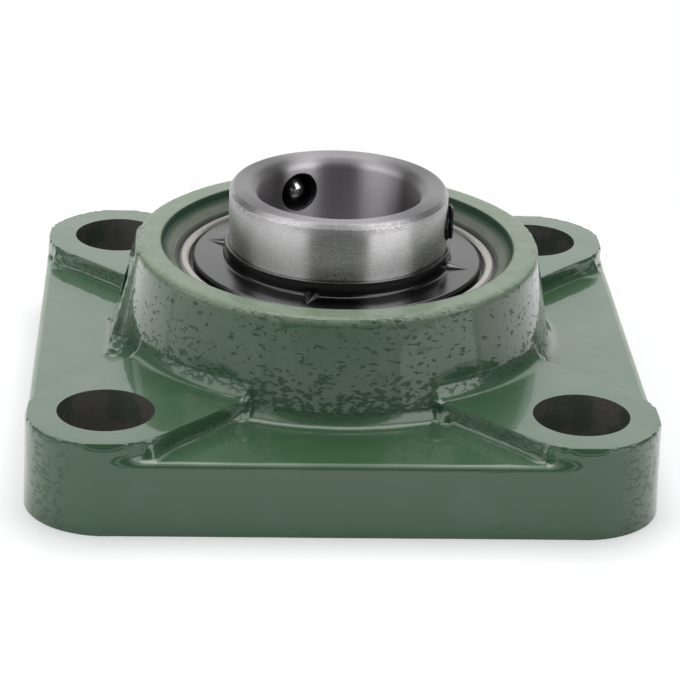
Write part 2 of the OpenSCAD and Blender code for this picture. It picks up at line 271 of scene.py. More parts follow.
def close_mesh(piece):
    """Merges doubles and turns all faces outwards."""
    select_only(piece)
    bpy.ops.object.mode_set(mode="EDIT")
    bpy.ops.mesh.select_all(action="SELECT")
    bpy.ops.mesh.remove_doubles(threshold=1e-6)
    bpy.ops.mesh.normals_make_consistent(inside=False)
    bpy.ops.object.mode_set(mode="OBJECT")
    return piece


def rounded(corners, steps=5):
    """An outline from (radius, height, rounding) corners, where each rounding is an arc."""
    outline = []
    for i, (x, z, radius) in enumerate(corners):
        corner = Vector((x, z))
        if not radius:
            outline.append(corner)
            continue
        before = (Vector(corners[i - 1][:2]) - corner).normalized()
        after = (Vector(corners[(i + 1) % len(corners)][:2]) - corner).normalized()
        half = before.angle(after) / 2
        centre = corner + (before + after).normalized() * radius / math.sin(half)
        start = corner + before * radius / math.tan(half) - centre
        end = corner + after * radius / math.tan(half) - centre
        sweep = start.angle_signed(end)
        for k in range(steps + 1):
            turn = Matrix.Rotation(-sweep * k / steps, 2)
            outline.append(centre + turn @ start)
    return outline


def arc(x, z, radius, start, end, steps):
    """Points of an arc round (x, z), between two angles in degrees."""
    angles = [math.radians(start + (end - start) * k / steps) for k in range(steps + 1)]
    return [Vector((x + radius * math.cos(a), z + radius * math.sin(a))) for a in angles]


def lathe(name, outline, steps=160):
    """Spins a closed outline of (radius, height) points about the axis."""
    bpy.ops.object.select_all(action="DESELECT")
    bpy.ops.mesh.primitive_circle_add(vertices=len(outline), radius=1, fill_type="NOTHING")
    piece = named(name)
    for vertex, point in zip(piece.data.vertices, outline):
        vertex.co = (point[0], 0, point[1])
    select_only(piece)
    bpy.ops.object.mode_set(mode="EDIT")
    bpy.ops.mesh.select_all(action="SELECT")
    bpy.ops.mesh.spin(steps=steps, angle=TURN, center=(0, 0, 0), axis=(0, 0, 1))
    bpy.ops.object.mode_set(mode="OBJECT")
    return close_mesh(piece)


def modify(piece, kind, **settings):
    """Adds a modifier with these settings and applies it."""
    modifier = piece.modifiers.new(kind.title(), kind)
    for key, value in settings.items():
        setattr(modifier, key, value)
    select_only(piece)
    bpy.ops.object.modifier_apply(modifier=modifier.name)
    return piece


def cut(piece, cutter, operation="DIFFERENCE"):
    """Cuts one piece with another, which is used up."""
    modify(piece, "BOOLEAN", operation=operation, solver="MANIFOLD", object=cutter)
    bpy.data.objects.remove(cutter)
    return piece


def copy_of(piece, name):
    """A copy with its own mesh."""
    twin = piece.copy()
    twin.data = piece.data.copy()
    twin.name = twin.data.name = name
    bpy.context.scene.collection.objects.link(twin)
    return twin


def join(name, *pieces):
    """Joins pieces into one object."""
    select_only(*pieces)
    bpy.ops.object.join()
    return named(name)


def smooth(piece, degrees=32):
    """Shades a piece smooth, apart from its sharp edges."""
    select_only(piece)
    bpy.ops.object.shade_smooth_by_angle(angle=math.radians(degrees))
    return piece


def dress(piece, body, slot, material, *nodes):
    """Finishes a piece: its body, its material and the nodes that it stands for. The slot is not used."""
    if material:
        piece.data.materials.clear()
        piece.data.materials.append(material)
    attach(piece, body)
    if nodes:
        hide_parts(*nodes)
    return piece


def thread(name, radius, depth, pitch, low, high, sides=64, rows=8):
    """A rod along the axis whose surface is a thread, made of rings that follow the thread's slope."""
    count = max(2, round((high - low) / pitch * rows))
    rod = cylinder(name, radius, low, high, sides)
    select_only(rod)
    bpy.ops.object.mode_set(mode="EDIT")
    for k in range(1, count):
        bpy.ops.mesh.select_all(action="SELECT")
        height = low + (high - low) * k / count
        bpy.ops.mesh.bisect(plane_co=(0, 0, height), plane_no=(0, 0, 1))
    bpy.ops.object.mode_set(mode="OBJECT")

    def ridge(point):
        share = (point.z / pitch - math.atan2(point.y, point.x) / TURN) % 1
        wave = abs(2 * share - 1)
        scale = 1 - depth / radius * (1 - wave)
        return Vector((point.x * scale, point.y * scale, point.z))

    move_vertices(rod, ridge)
    return rod


# Shader helpers


class Value:
    """A shader socket that adds Math nodes when it is used in an expression."""

    def __init__(self, shader, socket):
        self.shader = shader
        self.socket = socket

    def math(self, operation, *others):
        return self.shader.node("ShaderNodeMath", {"operation": operation}, self, *others)

    def __add__(self, other):
        return self.math("ADD", other)

    def __sub__(self, other):
        return self.math("SUBTRACT", other)

    def __mul__(self, other):
        return self.math("MULTIPLY", other)

    def __radd__(self, other):
        return self.math("ADD", other)

    def __rmul__(self, other):
        return self.math("MULTIPLY", other)

    def __rsub__(self, other):
        return self.shader.node("ShaderNodeMath", {"operation": "SUBTRACT"}, other, self)


class Shader:
    """Builds the nodes of one material, or of a world."""

    def __init__(self, name, world=None):
        self.material = world or bpy.data.materials.new(name)
        self.material.use_nodes = True
        self.tree = self.material.node_tree
        self.tree.nodes.clear()

    def node(self, kind, settings=None, *values, output=0, **named_values):
        """Adds a node: its settings first, then its sockets by order or by name."""
        made = self.tree.nodes.new(kind)
        for key, value in (settings or {}).items():
            setattr(made, key, value)
        for index, value in enumerate(values):
            self.feed(made.inputs[index], value)
        for key, value in named_values.items():
            self.feed(made.inputs[key.replace("_", " ")], value)
        return Value(self, made.outputs[output]) if made.outputs else made

    def feed(self, socket, value):
        if isinstance(value, Value):
            self.tree.links.new(value.socket, socket)
        elif value is not None:
            socket.default_value = value

    def place(self):
        """The point on the piece, in metres."""
        return self.node("ShaderNodeTexCoord", output="Object")

    def split(self, vector):
        """The three parts of a vector."""
        made = self.tree.nodes.new("ShaderNodeSeparateXYZ")
        self.feed(made.inputs[0], vector)
        return [Value(self, made.outputs[i]) for i in range(3)]

    def scaled(self, vector, scale):
        """A vector, scaled along each axis."""
        return self.node("ShaderNodeMapping", {}, Vector=vector, Scale=scale)

    def noise(self, vector, size, detail=2, roughness=0.5, distortion=0):
        """Noise whose spots are about the given size."""
        return self.node(
            "ShaderNodeTexNoise", {}, Vector=vector, Scale=1 / size, Detail=detail,
            Roughness=roughness, Distortion=distortion,
        )

    def ramp(self, value, low, high):
        """0 below low, 1 above high and smooth between them."""
        smooth_step = {"interpolation_type": "SMOOTHSTEP"}
        return self.node("ShaderNodeMapRange", smooth_step, value, low, high, 0.0, 1.0)

    def mix(self, factor, a, b):
        """A mix of two colours."""
        made = self.tree.nodes.new("ShaderNodeMix")
        made.data_type = "RGBA"
        for index, value in ((0, factor), (6, a), (7, b)):
            if isinstance(value, (tuple, list)):
                value = (*value[:3], 1)
            self.feed(made.inputs[index], value)
        return Value(self, made.outputs[2])

    def seen(self):
        """1 for the camera and for what reflections and glass show, 0 for diffuse light."""
        rays = ("Is Camera Ray", "Is Glossy Ray", "Is Transmission Ray")
        camera, glossy, through = (self.node("ShaderNodeLightPath", output=ray) for ray in rays)
        return camera.math("MAXIMUM", glossy).math("MAXIMUM", through)

    def bump(self, height, distance):
        """A normal that follows a height from 0 to 1, times a distance in metres."""
        return self.node("ShaderNodeBump", {}, Strength=1.0, Distance=distance, Height=height)

    def finish(self, **sockets):
        """The Principled shader and the material's output."""
        surface = self.node("ShaderNodeBsdfPrincipled", {}, **sockets)
        self.node("ShaderNodeOutputMaterial", {}, Surface=surface)
        return self.material


def solid(colour_value):
    """A colour with alpha, for a socket."""
    return (*colour_value[:3], 1)


# Materials


def casting_zones(shader, x, y, height):
    """Masks for the parts of the casting, by place and by the way that a face looks."""
    facing = shader.split(shader.node("ShaderNodeNewGeometry", output="Normal"))[2]
    radius = (x * x + y * y).math("SQRT")
    reach = x.math("ABSOLUTE").math("MAXIMUM", y.math("ABSOLUTE"))
    near_axis = x.math("ABSOLUTE").math("MINIMUM", y.math("ABSOLUTE"))
    upright = 1 - shader.ramp(facing.math("ABSOLUTE"), 0.35, 0.75)
    zones = SimpleNamespace()
    hub_wall = upright * shader.ramp(height, 12 * MM, 14 * MM)
    zones.hub_wall = hub_wall * (1 - shader.ramp(radius, 34.5 * MM, 36 * MM))
    zones.foot = zones.hub_wall * (1 - shader.ramp(height, 13.5 * MM, 20 * MM))
    zones.off_boss = shader.ramp(x, -32.6 * MM, -32.2 * MM)
    zones.rim = shader.ramp(height, HOUSING_HIGH.z - 1.6 * MM, HOUSING_HIGH.z - 0.5 * MM)
    zones.rim_edge = zones.rim * shader.ramp(radius, 29.8 * MM, 30.9 * MM)
    arm_side = upright * (1 - shader.ramp(reach, 45 * MM, 46.3 * MM)) * (1 - zones.hub_wall)
    zones.arm_side = arm_side * shader.ramp(near_axis, 9 * MM, 12 * MM)
    middle = 1 - shader.ramp(near_axis, 29 * MM, 32 * MM)
    # Where the painted highlight lies: the plate's rounded top edge, between the arms.
    plate_edge = shader.ramp(reach, HOUSING_HIGH.x - 1.4 * MM, HOUSING_HIGH.x - 0.8 * MM) * middle
    zones.plate_edge = plate_edge * shader.ramp(height, 10.9 * MM, 11.2 * MM) * shader.ramp(facing, 0.25, 0.6)
    zones.mouth = 1 - shader.ramp(radius, 27.2 * MM, 27.9 * MM)
    slope = zones.mouth * shader.ramp(radius, 25.25 * MM, 25.4 * MM)
    zones.slope = slope * (1 - shader.ramp(radius, 26.2 * MM, 26.9 * MM))
    # The land beside the seat's upper edge, which the enamel colours near-black as painted shade.
    beside = 1 - shader.ramp(radius, 25.1 * MM, 25.35 * MM)
    zones.beside = beside * shader.ramp(height, 20 * MM, 21 * MM)
    return zones


def enamel(look):
    """Thick green enamel on a cast skin: runs, small pits and thin places, with painted shade in the mouth's step,
    in pits and dents and in the gap beside the seat, and a painted highlight along the plate's edge.
    """
    shader = Shader("green_enamel")
    point = shader.place()
    zones = casting_zones(shader, *shader.split(point))
    hub_wall, rim, mouth = zones.hub_wall, zones.rim, zones.mouth
    broad = shader.noise(point, 9 * MM, detail=3)
    runs = shader.noise(shader.scaled(point, (1, 1, 0.3)), look.peel_size, detail=2, roughness=0.45)
    spots = shader.noise(shader.scaled(point, (1, 1, 1.9)), 1.15 * MM, detail=1.6, distortion=0.4)
    places = shader.ramp(shader.noise(point, 11 * MM, detail=2), 0.38, 0.6)
    pits = shader.ramp(spots + places * 0.06 + zones.foot * 0.17, 0.64, 0.69) * hub_wall * zones.off_boss
    pits = pits + shader.ramp(spots, 0.54, 0.6) * zones.arm_side * 0.6
    mottle = shader.ramp(shader.noise(point, 1.1 * MM, detail=3, distortion=0.6), 0.5, 0.58)
    mottle = mottle * zones.rim_edge * (0.25 + places * 0.75)
    dust = shader.noise(point, 2.6 * MM, detail=4, roughness=0.6)
    grain = shader.noise(point, 0.32 * MM, detail=1)
    relief = runs * (0.3 + hub_wall * 0.7) - pits * 2.4 - mottle * 1.6
    relief = relief + grain * (0.06 + mouth * 0.4 + rim * 0.3)
    thin = shader.ramp(broad, 0.5, 0.72) * 0.3
    tint = shader.mix(thin, tuple(look.paint), tuple(look.paint_thin))
    tint = shader.mix(rim * (1 - mouth) * (0.45 + dust * 0.7), tint, tuple(look.paint_rim))
    # Painted shade: the mouth's step and the top of its slope take the darker enamel.
    tint = shader.mix(mouth, tint, tuple(look.paint_deep))
    tint = shader.mix(zones.slope * (0.35 + dust * 0.65), tint, tuple(look.paint_dusty))
    # Painted shade: the land beside the seat's upper edge is coloured near-black for the shaded gap round the
    # outer ring.
    tint = shader.mix(zones.beside, tint, tuple(look.black_steel))
    # Painted highlight along the rounded top edge of the plate, between the arms.
    tint = shader.mix(zones.plate_edge * (0.25 + broad * 0.6), tint, tuple(look.paint_worn))
    # Painted shade: the pits and the dents along the rim's edge are coloured darker as well as dented in the bump.
    tint = shader.mix(pits * 0.6 + mottle * 0.55, tint, tuple(look.paint_deep))
    return shader.finish(
        Base_Color=tint,
        Roughness=0.32 + grain * 0.08 + mouth * 0.25 + rim * 0.12,
        Coat_Weight=(1 - mouth * 0.9) * (1 - pits * 0.85) * (1 - rim * 0.6),
        Coat_Roughness=0.045,
        Coat_IOR=1.45,
        Specular_IOR_Level=0.3,
        Normal=shader.bump(relief, look.peel_depth),
    )


def machined_iron(look):
    """Machined iron with fine turning rings about the main axis."""
    shader = Shader("machined_iron")
    x, y, z = shader.split(shader.place())
    radius = (x * x + y * y).math("SQRT")
    rings = (radius * (TURN / (0.35 * MM)) + z * (TURN / (0.35 * MM))).math("SINE")
    stain = shader.noise(shader.place(), 7 * MM, detail=4)
    tint = shader.mix(shader.ramp(stain, 0.4, 0.7), tuple(look.iron), tuple(c * 0.7 for c in look.iron))
    return shader.finish(
        Base_Color=tint,
        Metallic=0.75,
        Roughness=0.38 + stain * 0.2,
        Normal=shader.bump(rings * 0.5 + 0.5, 0.004 * MM),
    )


def drilled_iron(look):
    """The walls of the bolt holes: dark, half painted, rough from the drill."""
    shader = Shader("drilled_iron")
    point = shader.place()
    streaks = shader.noise(shader.scaled(point, (1, 1, 0.7)), 0.32 * MM, detail=2)
    patches = shader.ramp(shader.noise(point, 6 * MM, detail=2), 0.45, 0.6)
    green = tuple(c * 0.5 for c in look.paint)
    tint = shader.mix(patches * 0.6, tuple(look.drilled), green)
    return shader.finish(
        Base_Color=tint,
        Roughness=0.36 + streaks * 0.3,
        Metallic=0.1,
        Normal=shader.bump(streaks, 0.16 * MM),
    )


def ground_steel(name, tint, end_shade=1.0):
    """Steel ground round its axis, with fine rings, a speckle and a worn outer edge, and its ends and bore
    darkened as painted shade.
    """
    shader = Shader(name)
    tint = tuple(tint)
    point = shader.place()
    x, y, z = shader.split(point)
    radius = (x * x + y * y).math("SQRT")
    normal = shader.split(shader.node("ShaderNodeNewGeometry", output="Normal"))
    rings = shader.noise(shader.scaled(point, (0.02, 0.02, 1)), 0.07 * MM, detail=2)
    speckle = shader.noise(point, 0.12 * MM, detail=1)
    stain = shader.noise(point, 5 * MM, detail=3)
    around = shader.node("ShaderNodeCombineXYZ", {}, y.math("ARCTAN2", x) * (INNER_HIGH.x * 0.3), z, radius)
    scuffs = shader.noise(around, 0.16 * MM, detail=3, roughness=0.7)
    scratches = shader.ramp(shader.noise(shader.scaled(around, (0.12, 1, 1)), 0.1 * MM, detail=2), 0.56, 0.7)
    turned_end = shader.ramp(normal[2].math("ABSOLUTE"), 0.3, 0.93)
    worn = shader.ramp(radius, INNER_HIGH.x - 0.95 * MM, INNER_HIGH.x - 0.55 * MM)
    worn = worn * shader.ramp(z, INNER_HIGH.z - 2.2 * MM, INNER_HIGH.z - 0.7 * MM)
    nicks = shader.ramp(scuffs, 0.46, 0.66) * worn
    inside = 1 - shader.ramp(radius, BORE_RADIUS + 0.3 * MM, BORE_RADIUS + 1.4 * MM)
    shade = shader.mix(shader.ramp(stain, 0.42, 0.66) * 0.3, tint, tuple(c * 0.8 for c in tint))
    # Painted shade: the end faces are coloured darker by end_shade, less so along the worn outer edge.
    shade = shader.mix(turned_end * (1 - worn * 0.3), shade, tuple(c * end_shade for c in tint))
    # Painted shade: the bore is coloured darker than the ring's outside.
    shade = shader.mix(inside * 0.45, shade, tuple(c * 0.4 for c in tint))
    shade = shader.mix(nicks * 0.7 + scratches * 0.25, shade, tuple(c * 0.45 for c in tint))
    return shader.finish(
        Base_Color=shade,
        Metallic=1.0,
        Roughness=0.21 + speckle * 0.08 + rings * 0.05 + turned_end * 0.12 + nicks * 0.2 + inside * 0.12,
        Anisotropic=0.97,
        Anisotropic_Rotation=0.25,
        Normal=shader.bump(rings * 0.6 + speckle * 0.4 - nicks * 5 - scratches, 0.003 * MM),
    )


def tapped_steel(look):
    """The threads of the tapped holes, coloured near-black as painted shade inside the holes."""
    shader = Shader("tapped_steel")
    marks = shader.noise(shader.place(), 0.4 * MM, detail=2)
    return shader.finish(
        Base_Color=shader.mix(marks, tuple(look.black_steel), tuple(c * 2 for c in look.black_steel)),
        Metallic=0.9,
        Roughness=0.35 + marks * 0.15,
    )


def dark_sheet(look):
    """Dark pressed sheet with a smooth, slightly uneven shine, and a collar darkened as painted shade."""
    shader = Shader("dark_sheet")
    point = shader.place()
    cloud = shader.noise(point, 3 * MM, detail=3)
    fine = shader.noise(point, 0.25 * MM, detail=1)
    x, y, z = shader.split(point)
    disc = shader.ramp((x * x + y * y).math("SQRT"), INNER_HIGH.x + 0.7 * MM, INNER_HIGH.x + 1.1 * MM)
    lip = shader.ramp(z, SLINGER_HIGH.z - 0.3 * MM, SLINGER_HIGH.z - 0.15 * MM)
    tint = shader.mix(cloud, tuple(c * 0.9 for c in look.dark_sheet), tuple(c * 1.1 for c in look.dark_sheet))
    return shader.finish(
        # Painted shade and reflection: the collar below its top lip is coloured at 0.45 of the sheet.
        Base_Color=shader.mix(disc.math("MAXIMUM", lip), tuple(c * 0.45 for c in look.dark_sheet), tint),
        Metallic=1.0,
        Roughness=0.17 + cloud * 0.08,
        Normal=shader.bump(fine, 0.0015 * MM),
    )


def black_steel(look):
    """Blackened steel of the set screws, bright where the tip is rubbed."""
    shader = Shader("black_steel")
    point = shader.place()
    x, y = shader.split(point)[:2]
    radius = (x * x + y * y).math("SQRT")
    rubbed = 1 - shader.ramp(radius, BORE_RADIUS + 0.55 * MM, BORE_RADIUS + 0.95 * MM)
    fine = shader.noise(point, 0.3 * MM, detail=2)
    return shader.finish(
        Base_Color=shader.mix(rubbed, tuple(look.black_steel), (0.5, 0.5, 0.5)),
        Metallic=0.95,
        Roughness=0.3 - rubbed * 0.18 + fine * 0.08,
        Normal=shader.bump(fine, 0.004 * MM),
    )


def rubber(look):
    """Matt black rubber."""
    shader = Shader("seal_rubber")
    fine = shader.noise(shader.place(), 0.2 * MM, detail=2)
    return shader.finish(
        Base_Color=solid(look.rubber), Roughness=0.6 + fine * 0.15, Normal=shader.bump(fine, 0.01 * MM)
    )


def polished(name, tint, roughness):
    """Smooth steel for balls, cages and seal plates, with faint marks."""
    shader = Shader(name)
    tint = tuple(tint)
    marks = shader.noise(shader.place(), 0.6 * MM, detail=3)
    return shader.finish(
        Base_Color=shader.mix(marks, tint, tuple(c * 0.85 for c in tint)),
        Metallic=1.0,
        Roughness=roughness + marks * 0.08,
        Normal=shader.bump(marks, 0.002 * MM),
    )


# The casting


def cast_plate(size):
    """The recessed square plate, with round corners and leaning walls."""
    half = HOUSING_HIGH.x
    plate = block("cast_plate", (-half, -half, -3 * MM), (half, half, size.plate_height))
    lean = size.draft * size.plate_height / size.arm_height

    def leaned(point):
        if point.z < 0:
            return point
        x, y = (value - math.copysign(lean, value) for value in point.xy)
        return Vector((x, y, point.z))

    move_vertices(plate, leaned)
    select_only(plate)
    bpy.ops.object.mode_set(mode="EDIT")
    bpy.ops.mesh.select_mode(type="EDGE")
    bpy.ops.mesh.select_all(action="DESELECT")
    bpy.ops.object.mode_set(mode="OBJECT")
    for edge in plate.data.edges:
        a, b = (plate.data.vertices[i].co for i in edge.vertices)
        edge.select = abs(a.z - b.z) > half / 10
    bpy.ops.object.mode_set(mode="EDIT")
    bpy.ops.mesh.bevel(offset=size.corner_radius, segments=16, affect="EDGES")
    bpy.ops.object.mode_set(mode="OBJECT")
    return plate


def cast_bosses(size):
    """The four corner bosses, concentric with the bolt holes."""
    outline = [
        (0, -3 * MM), (size.corner_radius, -3 * MM), (size.corner_radius, 0),
        (size.corner_radius - size.draft, size.arm_height), (0, size.arm_height),
    ]
    boss = lathe("cast_boss", outline, 96)
    bosses = [place(copy_of(boss, "cast_boss"), Matrix.Translation(p)) for p in bolt_places()]
    bpy.data.objects.remove(boss)
    return bosses


def bolt_places():
    """The four bolt holes' places on the mounting face."""
    x, y = BOLTS["spacing_x_mm"] * MM / 2, BOLTS["spacing_y_mm"] * MM / 2
    return [Vector((i * x, j * y, 0)) for i in (-1, 1) for j in (-1, 1)]


def cast_arms(size):
    """The two crossing bars that make the four arms."""
    reach = bolt_places()[3].length + size.arm_inset * 3
    half = size.corner_radius - size.arm_inset
    arms = []
    for turn in (45, 135):
        arm = block("cast_arm", (-reach, -half, 0), (reach, half, size.arm_height))
        arms.append(place(arm, turned(math.radians(turn))))
    return arms


def cast_hub(size):
    """The hub with its hollow foot and its flat top; the mouth and its ledge are cut later by the seat cutter."""
    top, reach = HOUSING_HIGH.z, size.hub_foot_round
    foot = size.plate_height - 0.1 * MM
    cove = [(p.x, p.y, 0) for p in arc(size.hub_foot_radius + reach, foot + reach, reach, 270, 180, 6)]
    outside = (size.hub_top_radius, top, 0.6 * MM)
    corners = [(0, 1 * MM, 0), (cove[0][0], 1 * MM, 0), *cove, outside, (0, top, 0)]
    return lathe("cast_hub", rounded(corners), 128)


def arm_coves(size):
    """The hollow rounds where the arms' tops meet the hub."""
    cove_top = size.plate_height + size.hub_foot_round
    slope = (size.hub_foot_radius - size.hub_top_radius) / (HOUSING_HIGH.z - cove_top)
    wall = size.hub_foot_radius - slope * (size.arm_height - cove_top)
    reach, low = size.arm_cove, size.arm_height - 0.1 * MM
    cove = arc(wall + reach, low + reach, reach, 270, 180, 6)
    outline = [Vector((wall - 3 * MM, low)), *cove, Vector((wall - 3 * MM, low + reach))]
    half = size.corner_radius - size.arm_inset
    pieces = []
    for turn in (45, 135):
        sides = place(block("arm_sides", (-1, -half, -1), (1, half, 1)), turned(math.radians(turn)))
        pieces.append(cut(lathe("arm_cove", outline, 128), sides, "INTERSECT"))
    return pieces


def boss_face(size, height):
    """Reach of the grease boss's slanted face at a height."""
    top, foot = size.hub_top_radius - 0.1 * MM, size.hub_foot_radius + size.boss_reach
    share = (height - size.plate_height) / (HOUSING_HIGH.z - size.plate_height)
    return foot + (top - foot) * share


def cast_grease_boss(size):
    """The block on the left of the hub that carries the grease port."""
    low, high = size.plate_height - 2 * MM, HOUSING_HIGH.z
    boss = block("cast_grease_boss", (-1, -size.boss_width / 2, low), (0, size.boss_width / 2, high))
    move_vertices(boss, lambda p: p if p.x > -0.5 else Vector((-boss_face(size, p.z), p.y, p.z)))
    front, left = -size.boss_width / 2, -boss_face(size, size.plate_height)
    step_low, step_high = (left, front - size.step_depth, low), (left + size.step_width, 0, size.step_height)
    step = block("cast_boss_step", step_low, step_high)
    return [boss, step]


def paint_pools(size):
    """Wrinkled paint where an arm meets the hub and where its side runs out at the flange's edge."""
    half = size.corner_radius - size.arm_inset
    inner = math.sqrt((size.hub_foot_radius + 0.5 * MM) ** 2 - half**2)
    outer = math.sqrt(2) * HOUSING_HIGH.x - half - 3.2 * MM
    low, high = size.plate_height, size.arm_height
    pools = []
    noise.seed_set(7)

    def drop(turn, reach, side, height, radius):
        bpy.ops.object.select_all(action="DESELECT")
        bpy.ops.mesh.primitive_ico_sphere_add(subdivisions=2, radius=radius, scale=(1.2, 1, 0.9))
        spot = Vector((reach, side * half, height)) + noise.random_unit_vector() * 0.35 * MM
        pools.append(place(named("paint_pool"), turned(math.radians(turn)) @ Matrix.Translation(spot)))

    for turn in (45, 135, 225, 315):
        for side in (-1, 1):
            for k in range(7):
                height = high - 0.3 * MM - (high - low) * k / 6
                drop(turn, inner + 0.25 * MM * k, side, height, size.pool_radius)
            for k in range(6):
                drop(turn, outer - 0.5 * MM * k, side, low + 0.9 * MM - 0.2 * MM * k, size.run_radius)
    return pools


def seat_cutter(size):
    """What is machined out of the casting about its axis: seat, groove, mouth and underside."""
    half = math.degrees(math.asin(size.seat_half / size.seat_radius))
    low, high = SEAT_HEIGHT - size.seat_half, SEAT_HEIGHT + size.seat_half
    edge = math.sqrt(size.seat_radius**2 - size.seat_half**2)
    relief_low, relief_high = edge + 4.1 * MM, edge + 2.6 * MM
    groove_low, groove_high = 0.4 * MM, 2.8 * MM
    groove_radius = size.seat_radius + 0.7 * MM
    groove_start = math.degrees(math.asin(groove_low / size.seat_radius))
    groove_end = math.degrees(math.asin(groove_high / size.seat_radius))
    outline = [Vector(p) for p in (
        (0, -2 * MM), (relief_low, -2 * MM), (relief_high, low), (edge, low),
    )]
    outline += arc(0, SEAT_HEIGHT, size.seat_radius, -half, groove_start, 20)[1:]
    outline += [Vector((groove_radius, SEAT_HEIGHT + z)) for z in (groove_low, groove_high)]
    lip_end = math.degrees(math.asin((size.seat_half - 0.3 * MM) / size.seat_radius))
    outline += arc(0, SEAT_HEIGHT, size.seat_radius, groove_end, lip_end, 12)
    top, mouth = HOUSING_HIGH.z, size.hub_top_radius - size.rim_width
    flare = 0.35 * MM
    outline += rounded([
        (edge + 0.35 * MM, high, 0), (edge + size.ledge_reach, high, 0.1 * MM),
        (mouth - 0.3 * MM, top - size.mouth_step, 0.4 * MM), (mouth, top - flare, 0), (mouth, top, 0),
    ], 4)[:-1]
    outline += arc(mouth + flare, top - flare, flare, 180, 90, 5)[1:]
    outline += [Vector((mouth + flare, top + 1 * MM)), Vector((0, top + 1 * MM))]
    return lathe("seat_cutter", outline, 192)


def slot_cutter(size):
    """The two loading slots on the underside."""
    half = (OUTER_HIGH.z - OUTER_LOW.z) / 2 + 0.2 * MM
    slot = cylinder("slot_cutter", size.seat_radius + 0.25 * MM, -1 * MM, SEAT_HEIGHT)
    return cut(slot, block("slot_sides", (-half, -1, -1), (half, 1, 1)), "INTERSECT")


def port_cutters(size):
    """The tapped grease port and the passage behind it."""
    rise = HOUSING_HIGH.z - size.plate_height
    lean = math.atan2(boss_face(size, size.plate_height) - boss_face(size, HOUSING_HIGH.z), rise)
    mouth = Vector((-boss_face(size, size.port_height), 0, size.port_height))
    aim = Matrix.Translation(mouth) @ turned(-(math.pi / 2 - lean), "Y")
    port = thread("port_cutter", size.port_radius + 0.35 * MM, 0.35 * MM, 0.75 * MM, -5 * MM, 2 * MM)
    passage = cylinder("passage_cutter", 1.25 * MM, -9.5 * MM, -1 * MM, 48)
    return [place(port, aim), place(passage, aim)]


def paint_or_iron(casting, size, look):
    """Gives each face of the casting enamel, machined iron or drilled iron by its place."""
    casting.data.materials.clear()
    for material in (enamel(look), machined_iron(look), drilled_iron(look)):
        casting.data.materials.append(material)
    hole = BOLTS["hole_r_mm"] * MM
    seat_edge = math.sqrt(size.seat_radius**2 - size.seat_half**2)
    places = bolt_places()
    for face in casting.data.polygons:
        centre, normal = face.center, face.normal
        radius = centre.xy.length
        if centre.z < 0.05 * MM and normal.z < -0.9:
            face.material_index = 1
        elif any((centre.xy - p.xy).length < hole + 0.02 * MM for p in places) and abs(normal.z) < 0.5:
            face.material_index = 2
        elif radius < size.seat_radius + 0.8 * MM and centre.z < SEAT_HEIGHT + size.seat_half + 0.02 * MM:
            deep = centre.z > SEAT_HEIGHT - size.seat_half or radius < seat_edge + 0.1 * MM
            land = centre.z > SEAT_HEIGHT + size.seat_half - 0.6 * MM
            face.material_index = 1 if deep and not land else 0


def make_casting(size, look):
    """Builds the painted casting: a rounded cast skin with crisp machined cuts."""
    shapes = [cast_plate(size), *cast_arms(size), cast_hub(size)]
    shapes += [*arm_coves(size), *cast_grease_boss(size), *paint_pools(size), *cast_bosses(size)]
    casting = join("casting", *shapes)
    modify(casting, "REMESH", mode="VOXEL", voxel_size=size.skin_step)
    modify(casting, "SMOOTH", factor=0.5, iterations=size.skin_rounds)
    wave_skin(casting, size)
    cut(casting, block("floor_cutter", (-1, -1, -1), (1, 1, 0)))
    for spot in bolt_places():
        drill = cylinder("drill", BOLTS["hole_r_mm"] * MM, -1 * MM, size.arm_height + 3 * MM)
        cut(casting, place(drill, Matrix.Translation(spot)))
    cut(casting, seat_cutter(size))
    cut(casting, slot_cutter(size))
    for cutter in port_cutters(size):
        cut(casting, cutter)
    paint_or_iron(casting, size, look)
    smooth(casting, 35)
    return dress(casting, "housing", "casting", None, "housing")


def wave_skin(casting, size):
    """Lets the cast skin wander inwards, in broad waves and small lumps."""
    casting.data.update()
    normals = [v.normal.copy() for v in casting.data.vertices]
    for vertex, normal in zip(casting.data.vertices, normals):
        broad = noise.noise(vertex.co / (9 * MM)) * 0.6
        small = noise.noise(vertex.co / (2.2 * MM)) * 0.15
        vertex.co -= normal * size.skin_wave * (0.5 + 0.5 * (broad + small))
    casting.data.update()


# The insert


def ball_groove(size, radius, inward):
    """Outline of the ball groove where it meets a wall of the given radius, from below to above or back."""
    race = size.ball_radius + size.ball_gap
    half = math.degrees(math.asin(math.sqrt(race**2 - (radius - size.pitch_radius) ** 2) / race))
    if inward:
        return arc(size.pitch_radius, SEAT_HEIGHT, race, 180 + half, 180 - half, 16)
    return arc(size.pitch_radius, SEAT_HEIGHT, race, -half, half, 16)


def screw_angles(size):
    """The two set screws' turns about the axis."""
    return [size.screw_turn, size.screw_turn + size.screw_spread]


def radial(size, turn):
    """Puts a piece made along the upright axis along a set screw's axis, outwards."""
    height = INNER_HIGH.z - size.screw_drop
    return Matrix.Translation((0, 0, height)) @ turned(turn) @ turned(math.pi / 2, "Y")


